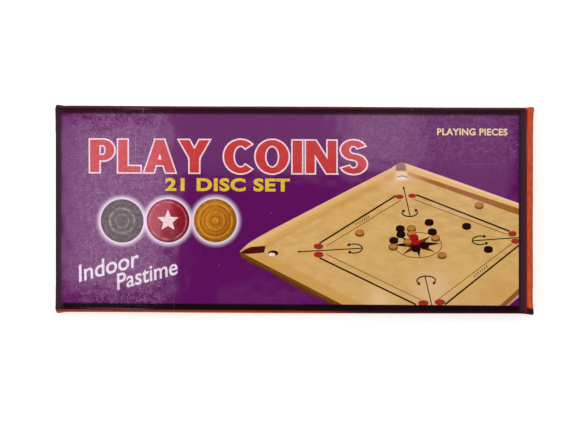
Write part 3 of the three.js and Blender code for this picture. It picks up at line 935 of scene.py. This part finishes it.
def make_picture_discs():
    """Small discs on the printed board: each is a side and a top, nearer ones over farther ones."""
    looks = {
        "black": (srgb(24, 6, 8), srgb(34, 12, 14)),
        "natural": (srgb(124, 68, 20), srgb(190, 124, 56)),
        "red": (srgb(122, 8, 6), srgb(178, 16, 14)),
    }
    inks = {
        kind: [ink(f"ink_small_{kind}_{part}", tone) for part, tone in zip(("side", "top"), tones)]
        for kind, tones in looks.items()
    }
    places = [(kind, x, y) for kind, spots in PICTURE_DISCS.items() for x, y in spots]
    places.sort(key=lambda place: -place[2])
    shapes = {kind: [bmesh.new(), bmesh.new()] for kind in looks}
    laid = []
    for kind, x, y in places:
        under = [level for other_x, other_y, level in laid if math.hypot(x - other_x, y - other_y) < 5.0]
        level = max(under, default=4) + 1
        laid.append((x, y, level))
        side = ellipse(x, y - 0.35, 2.32, 1.42, 28)
        side = [(px, py + (0.7 if py > y else 0)) for px, py in side]
        top = ellipse(x, y + 0.35, 2.02, 1.16, 28)
        for part, outline in enumerate((side, top)):
            height = (level + 0.5 * part) * INK * MM
            add_prism(shapes[kind][part], outline, FACE_Z - INK * MM, FACE_Z + height)
    for kind, meshes in shapes.items():
        for part, mesh in enumerate(meshes):
            name = f"print_small_{kind}_{('side', 'top')[part]}"
            new_piece(name, mesh, "lid", inks[kind][part])


make_board_picture()
make_picture_discs()

# ---------------------------------------------------------------- the tray's paper band


def band_paper():
    s = Shading("orange_band_paper", roughness=0.55, Coat_Weight=0.1, Coat_Roughness=0.25)
    s.shader.inputs["Specular IOR Level"].default_value = 0.2
    tone = s.smooth(s.noise(6, detail=4), 0.35, 0.65)
    colour = s.mix(tone, srgb(176, 58, 28), srgb(200, 78, 40))
    ends = s.smooth(s.z, 2.8 * MM, 1.4 * MM)
    worn = s.calc("MULTIPLY", s.smooth(s.noise(1.6, detail=6), 0.5, 0.66), ends)
    colour = s.mix(s.calc("MULTIPLY", worn, 0.6), colour, srgb(210, 176, 154))
    fibre = s.noise(0.45, detail=3)
    s.bump(s.calc("ADD", s.noise(5, detail=2), s.calc("MULTIPLY", fibre, 0.12)), 0.1, 0.5)
    return s.finish(colour)


def ring_points(half_x, half_y, radius, z, steps=4):
    """A rounded rectangle's points, anticlockwise, with a few along each side."""
    points = []
    corners = ((1, 1, 0), (-1, 1, 90), (-1, -1, 180), (1, -1, 270))
    for side_x, side_y, start in corners:
        for i in range(steps + 1):
            angle = math.radians(start + 90 * i / steps)
            x = side_x * (half_x - radius) + radius * math.cos(angle)
            y = side_y * (half_y - radius) + radius * math.sin(angle)
            points.append(Vector((x, y, z)))
    full = []
    for i, point in enumerate(points):
        after = points[(i + 1) % len(points)]
        count = max(1, round((after - point).length / (6 * MM)))
        full += [point.lerp(after, k / count) for k in range(count)]
    return full


def make_tray_band():
    low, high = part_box("tray_paper_band")
    outer, inner = 1.2 * MM, 0.4 * MM
    stack, top = WALL_STACK * MM, high.z
    rows = [(0, low.z + rise * MM, outer) for rise in (0, 2.5, 5, 7.5, 9.6)]
    rows += [(0.09 * MM, top - 0.13 * MM, outer), (0.32 * MM, top, outer)]
    rows += [(stack - 0.32 * MM, top, inner), (stack - 0.09 * MM, top - 0.13 * MM, inner)]
    rows += [(stack, top - drop * MM, inner) for drop in (0.45, 3, TURN_IN)]
    bm = bmesh.new()
    count = len(ring_points(high.x, high.y, outer, 0))
    loops = []
    for inset, z, radius in rows:
        base = ring_points(high.x, high.y, outer, z)
        loop = []
        for point in base:
            x, y = point.x, point.y
            grown = (high.x - inset - radius, high.y - inset - radius)
            flat_x = max(-(high.x - outer), min(high.x - outer, x))
            flat_y = max(-(high.y - outer), min(high.y - outer, y))
            out = Vector((x - flat_x, y - flat_y))
            out = out.normalized() * radius if out.length > 1e-9 else out
            px = flat_x / (high.x - outer) * grown[0] + out.x
            py = flat_y / (high.y - outer) * grown[1] + out.y
            wobble = 0.04 * MM * math.sin(x / (17 * MM) + y / (11 * MM)) if inset == 0 else 0
            shrink = 1 - wobble / high.y
            loop.append(bm.verts.new((px * shrink, py * shrink, z)))
        loops.append(loop)
    for upper, lower in zip(loops, loops[1:]):
        for i in range(count):
            j = (i + 1) % count
            bm.faces.new((upper[i], upper[j], lower[j], lower[i]))
    band = new_piece("tray_band_sheet", bm, "tray", band_paper(), smooth=True)
    sheet = band.modifiers.new("paper", "SOLIDIFY")
    sheet.thickness = PAPER * MM
    sheet.offset = -1
    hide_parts("tray_paper_band")


make_tray_band()

# ---------------------------------------------------------------- board, stays and liner


def greyboard():
    """Recycled board: grey-brown felt of fibres with dark and pale flecks."""
    s = Shading("greyboard_fibre", roughness=0.92)
    s.shader.inputs["Specular IOR Level"].default_value = 0.2
    cloud = s.smooth(s.noise(9, detail=4), 0.3, 0.7)
    colour = s.mix(cloud, srgb(142, 132, 118), srgb(162, 152, 137))
    fibres = s.noise(1.1, detail=5, vector=s.stretched(0.75, 1.0, 1.0), roughness=0.65)
    colour = s.mix(s.calc("MULTIPLY", s.smooth(fibres, 0.5, 0.72), 0.5), colour, srgb(184, 175, 160))
    colour = s.mix(s.specks(2.6, 0.16, 0.5), colour, srgb(88, 80, 72))
    colour = s.mix(s.specks(4.3, 0.13, 0.4), colour, srgb(206, 200, 188))
    s.bump(s.calc("ADD", fibres, s.noise(0.35, detail=2)), 0.12, 0.7)
    return s.finish(colour)


def stay_tape():
    """Gummed kraft tape at the corners."""
    s = Shading("kraft_tape", roughness=0.7)
    s.shader.inputs["Specular IOR Level"].default_value = 0.35
    strands = s.noise(1.1, detail=4, vector=s.stretched(1.0, 1.0, 0.2))
    colour = s.mix(s.smooth(strands, 0.35, 0.68), srgb(164, 120, 76), srgb(192, 150, 104))
    colour = s.mix(s.specks(2.2, 0.12, 0.4), colour, srgb(128, 88, 54))
    s.bump(strands, 0.08, 0.6)
    return s.finish(colour)


def liner_paper():
    """Thin off-white paper with soft creases."""
    s = Shading("liner_paper_sheet", roughness=0.8)
    s.shader.inputs["Specular IOR Level"].default_value = 0.3
    cloud = s.smooth(s.noise(12, detail=4), 0.3, 0.7)
    colour = s.mix(cloud, srgb(218, 211, 194), srgb(232, 227, 213))
    colour = s.mix(s.specks(3.0, 0.1, 0.35), colour, srgb(176, 164, 142))
    creases = s.noise(16, detail=3, roughness=0.35)
    s.bump(s.calc("ADD", creases, s.calc("MULTIPLY", s.noise(0.6), 0.04)), 0.5, 0.5)
    return s.finish(colour)


def repaint(node, material):
    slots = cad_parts[node].material_slots
    if slots:
        slots[0].material = material
    else:
        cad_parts[node].data.materials.append(material)


def finish_hidden_parts():
    board, tape = greyboard(), stay_tape()
    for part in ("tray", "lid"):
        repaint(f"{part}_board", board)
        for corner in ("front_left", "front_right", "rear_left", "rear_right"):
            repaint(f"{part}_corner_stay_{corner}", tape)
    repaint("tray_liner_sheet", liner_paper())


finish_hidden_parts()

# ---------------------------------------------------------------- the turned discs


def turned_wood(name, dark, light, pore, gloss, ring_darkening):
    """Lathe-turned wood: end grain across, fine tool rings, lacquer over the colour."""
    s = Shading(name, roughness=0.42, Coat_Weight=gloss, Coat_Roughness=0.14)
    s.shader.inputs["Specular IOR Level"].default_value = 0.4
    own = s.calc("MULTIPLY", s.node("ShaderNodeObjectInfo").outputs["Random"], 0.5)
    shifted = s.node("ShaderNodeVectorMath", operation="ADD")
    s.put(s.place, shifted.inputs[0])
    offset = s.node("ShaderNodeCombineXYZ")
    s.put(own, offset.inputs["X"])
    s.put(offset.outputs[0], shifted.inputs[1])
    stretch = s.node("ShaderNodeMapping")
    s.put(shifted.outputs[0], stretch.inputs["Vector"])
    stretch.inputs["Scale"].default_value = (0.16, 1.0, 1.0)
    grain = s.noise(1.7, detail=5, vector=stretch.outputs["Vector"], roughness=0.6)
    colour = s.mix(s.smooth(grain, 0.35, 0.66), dark, light)
    pores = s.specks(1.1, 0.2, 0.35, vector=stretch.outputs["Vector"])
    colour = s.mix(s.calc("MULTIPLY", pores, 0.7), colour, pore)
    away = s.calc("DIVIDE", s.from_point(0, 0), MM)
    # Darker rings along the edges of the turned grooves.
    for radius, width in ((7.6, 0.3), (9.6, 0.3), (13.1, 0.2)):
        ring = s.between(away, radius - width, radius + width, width)
        colour = s.mix(s.calc("MULTIPLY", ring, ring_darkening), colour, pore)
    rings = s.calc("SINE", s.calc("MULTIPLY", away, 14.0))
    tool = s.calc("ADD", s.calc("MULTIPLY", rings, 0.5), s.calc("MULTIPLY", grain, 0.6))
    s.bump(tool, 0.02, 0.6)
    return s.finish(colour)


def coin_profile(radius, half):
    """Half a disc's outline from the axis to the rim's middle: distance and height in mm."""
    face = [
        (0.0, half - 0.30), (2.0, half - 0.30), (4.6, half - 0.26), (6.6, half - 0.16), (7.4, half),
        (7.75, half - 0.05), (8.0, half - 0.38), (8.3, half - 0.45), (8.9, half - 0.45),
        (9.2, half - 0.38), (9.45, half - 0.05), (9.8, half), (11.6, half - 0.03), (12.7, half - 0.08),
        (12.9, half - 0.26), (13.3, half - 0.26), (13.5, half - 0.10), (14.2, half - 0.16),
    ]
    edge = 1.3
    for i in range(1, 8):
        angle = math.radians(90 - 90 * i / 7)
        across = radius - edge + edge * math.cos(angle)
        face.append((across, half - 0.16 - edge + edge * math.sin(angle)))
    return face


def turned_disc(radius, half):
    upper = coin_profile(radius, half)
    profile = upper + [(r, -h) for r, h in reversed(upper)]
    bm = bmesh.new()
    turns = 72
    rings = []
    for r, h in profile[1:-1]:
        angles = (math.tau * i / turns for i in range(turns))
        rings.append([bm.verts.new((r * MM * math.cos(a), r * MM * math.sin(a), h * MM)) for a in angles])
    poles = [bm.verts.new((0, 0, profile[end][1] * MM)) for end in (0, -1)]
    for inner, outer in zip(rings, rings[1:]):
        for i in range(turns):
            j = (i + 1) % turns
            bm.faces.new((inner[i], outer[i], outer[j], inner[j]))
    for i in range(turns):
        j = (i + 1) % turns
        bm.faces.new((poles[0], rings[0][i], rings[0][j]))
        bm.faces.new((poles[1], rings[-1][j], rings[-1][i]))
    return bm


def make_discs():
    woods = {
        "black": turned_wood("wood_black", srgb(20, 14, 12), srgb(44, 33, 28), srgb(8, 5, 4), 0.5, 0.3),
        "natural": turned_wood("wood_natural", srgb(202, 158, 100), srgb(226, 188, 134),
                               srgb(146, 98, 50), 0.45, 0.45),
        "red": turned_wood("wood_red", srgb(150, 18, 22), srgb(184, 34, 34), srgb(90, 8, 12), 0.55, 0.4),
    }
    draw = random.Random(21)
    for node in sorted(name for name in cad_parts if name.startswith("coin_")):
        kind = node.split("_")[1]
        low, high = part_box(node)
        middle = (low + high) / 2
        size = (high - low) / MM
        disc = turned_disc(size.x / 2, size.z / 2)
        bmesh.ops.rotate(disc, verts=disc.verts, matrix=Matrix.Rotation(draw.uniform(0, math.tau), 3, "Z"))
        piece = new_piece(node.replace("coin", "disc"), disc, "tray", woods[kind], True)
        piece.location = middle
        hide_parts(node)


make_discs()

# ---------------------------------------------------------------- floor, light and camera


FLOOR_GAP = 0.05 * MM  # keeps the floor out of the plane of the tray's underside


def make_floor():
    """A pale light table, which keeps the shadow round the carton faint."""
    bpy.ops.mesh.primitive_plane_add(size=8, location=(0, 0, -FLOOR_GAP))
    floor = bpy.context.object
    floor.name = "floor"
    s = Shading("studio_floor", roughness=0.9, Emission_Strength=0.5)
    s.shader.inputs["Emission Color"].default_value = srgb(255, 254, 252)
    tone = s.mix(s.noise(900, detail=2), srgb(240, 240, 239), srgb(246, 246, 245))
    floor.data.materials.append(s.finish(tone))


def make_light(name, position, target, size, power):
    light = bpy.data.lights.new(name, "AREA")
    light.shape = "RECTANGLE"
    light.size, light.size_y = size
    light.energy = power
    lamp = bpy.data.objects.new(name, light)
    bpy.context.scene.collection.objects.link(lamp)
    lamp.location = position
    aim = Vector(target) - Vector(position)
    lamp.rotation_euler = aim.to_track_quat("-Z", "Y").to_euler()
    lamp.visible_camera = False
    return lamp


VIEW_YAW = math.radians(9.25)
VIEW_PITCH = math.radians(-2.0)
TO_CAMERA = Vector((
    math.sin(VIEW_YAW) * math.cos(VIEW_PITCH),
    -math.sin(VIEW_PITCH),
    math.cos(VIEW_YAW) * math.cos(VIEW_PITCH),
))


MIRRORED = Vector((-TO_CAMERA.x, -TO_CAMERA.y, TO_CAMERA.z))
DOME = 0.92


def make_softbox(name, centre, size, height, radiance):
    """A small softbox that the glossy face mirrors to the camera round a point in mm."""
    spot = Vector((centre[0] * MM, centre[1] * MM, FACE_Z))
    position = spot + MIRRORED * (height / MIRRORED.z)
    size = [side * MM for side in size]
    power = radiance * math.pi * size[0] * size[1]
    lamp = make_light(name, position, spot, size, power)
    lamp.rotation_euler = (0, 0, 0)
    lamp.data.color = (1.0, 0.72, 0.96)


def make_world():
    """An even dome with a dark gap where the glossy face would mirror it to the camera."""
    world = bpy.data.worlds.new("studio")
    bpy.context.scene.world = world
    world.use_nodes = True
    tree = world.node_tree
    place = tree.nodes.new("ShaderNodeTexCoord")
    toward_gap = tree.nodes.new("ShaderNodeVectorMath")
    toward_gap.operation = "DOT_PRODUCT"
    tree.links.new(place.outputs["Generated"], toward_gap.inputs[0])
    toward_gap.inputs[1].default_value = MIRRORED
    fade = tree.nodes.new("ShaderNodeMapRange")
    fade.interpolation_type = "SMOOTHSTEP"
    tree.links.new(toward_gap.outputs["Value"], fade.inputs["Value"])
    fade.inputs["From Min"].default_value = math.cos(math.radians(30))
    fade.inputs["From Max"].default_value = math.cos(math.radians(17))
    fade.inputs["To Min"].default_value = DOME
    fade.inputs["To Max"].default_value = 0.02
    tree.nodes["Background"].inputs["Color"].default_value = srgb(255, 254, 252)
    tree.links.new(fade.outputs["Result"], tree.nodes["Background"].inputs["Strength"])


def make_camera():
    distance = 8.0
    view_width = 288.5 * MM  # what the picture takes in at the carton's face
    off_centre = (-1.06 * MM, -3.2 * MM)
    camera = bpy.data.cameras.new("camera")
    camera.sensor_width = 36
    camera.lens = camera.sensor_width * distance / view_width
    camera.clip_end = 100
    holder = bpy.data.objects.new("camera", camera)
    bpy.context.scene.collection.objects.link(holder)
    right = Vector((0, 1, 0)).cross(TO_CAMERA).normalized()
    up = TO_CAMERA.cross(right)
    target = Vector((0, 0, FACE_Z)) + right * off_centre[0] + up * off_centre[1]
    turn = Matrix((right, up, TO_CAMERA)).transposed().to_4x4()
    holder.matrix_world = Matrix.Translation(target + TO_CAMERA * distance) @ turn
    bpy.context.scene.camera = holder


make_floor()
make_world()
make_light("key", (-0.9, 0.8, 1.1), (0, 0, 0), (0.8, 0.8), 10)
make_softbox("softbox_left", (-94, 3), (58, 88), 0.35, 2.5)
make_softbox("softbox_top", (47, 42), (42, 44), 0.35, 2.4)
make_softbox("softbox_wide", (4, 44), (144, 50), 0.35, 0.9)
make_softbox("softbox_right", (97, 34), (40, 64), 0.35, 1.0)
make_softbox("softbox_front", (-12, -46), (48, 8), 0.35, 0.6)
make_camera()
bpy.context.scene.view_settings.view_transform = "Standard"
